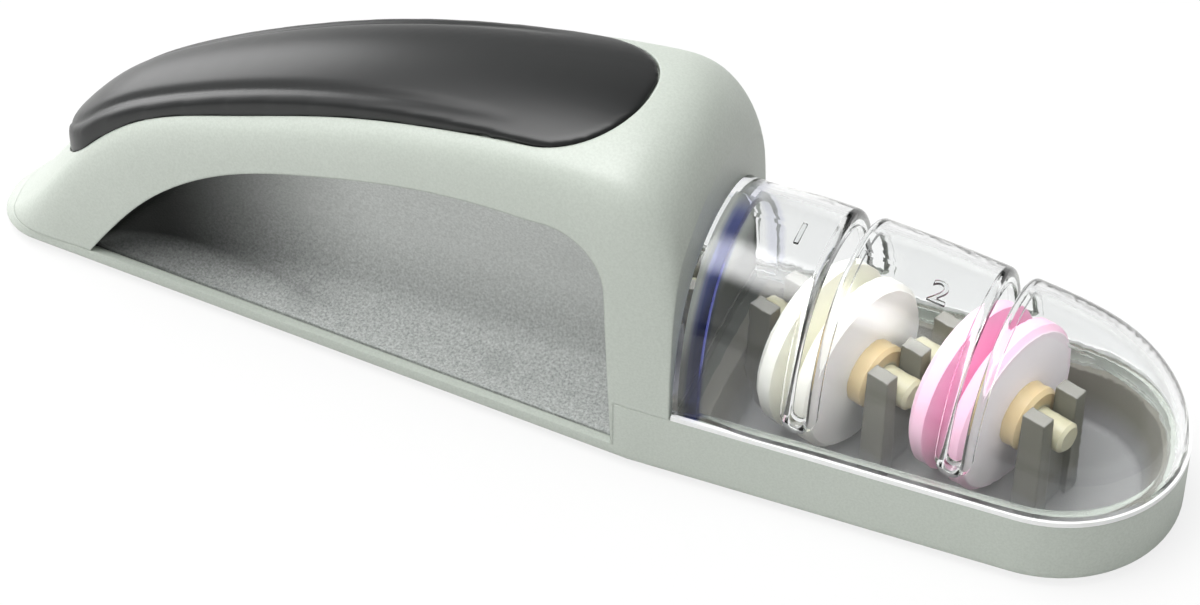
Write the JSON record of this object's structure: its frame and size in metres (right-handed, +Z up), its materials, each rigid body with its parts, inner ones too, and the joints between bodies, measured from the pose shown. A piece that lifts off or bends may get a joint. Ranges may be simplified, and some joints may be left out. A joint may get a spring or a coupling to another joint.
{
  "type": "pull through knife sharpener",
  "caption": "Pull through knife sharpener: arched handle with grip pad and finger recesses, water tank, skewed ceramic V wheels on axles, clear slotted cover that lifts off.",
  "frame": {"origin": "on the surface that the feet stand on, below the middle of the bounding box", "axes": "+X from the tail of the handle to the rounded nose of the cover, +Y across to the far side, +Z up"},
  "size_m": [0.2317, 0.0474, 0.0669],
  "materials": {
    "body": "fine moulded grain, light greenish grey",
    "liner": "coarse spark grain, silver grey",
    "pad": "satin black elastomer",
    "cover": "clear polished plastic",
    "foot": "soft black",
    "axle": "ivory, glossy",
    "disc_coarse": "unglazed white abrasive ceramic",
    "disc_fine": "unglazed pink abrasive ceramic"
  },
  "bodies": {
    "housing": {"base_tray": "body", "upper_shell": "body", "handle_liner": "liner", "grip_pad": "pad", "foot_1": "foot", "foot_2": "foot", "foot_3": "foot", "foot_4": "foot"},
    "cover": {"clear_cover": "cover"},
    "wheel_set_1": {"axle_1": "axle", "collar_1": "axle", "disc_1_nose": "disc_coarse", "disc_1_tail": "disc_coarse"},
    "wheel_set_2": {"axle_2": "axle", "collar_2": "axle", "disc_2_nose": "disc_fine", "disc_2_tail": "disc_fine"}
  },
  "joints": [
    {"name": "cover_lift", "type": "slide", "parent": "housing", "child": "cover", "axis": [0, 0, 1], "range_m": [0, 0.06]},
    {"name": "wheel_1_spin", "type": "hinge", "parent": "housing", "child": "wheel_set_1", "pos_m": [0.052, 0, 0.0188], "axis": [0.9426, -0.3338, 0], "continuous": true},
    {"name": "wheel_2_spin", "type": "hinge", "parent": "housing", "child": "wheel_set_2", "pos_m": [0.08, 0, 0.0188], "axis": [0.9426, -0.3338, 0], "continuous": true}
  ]
}
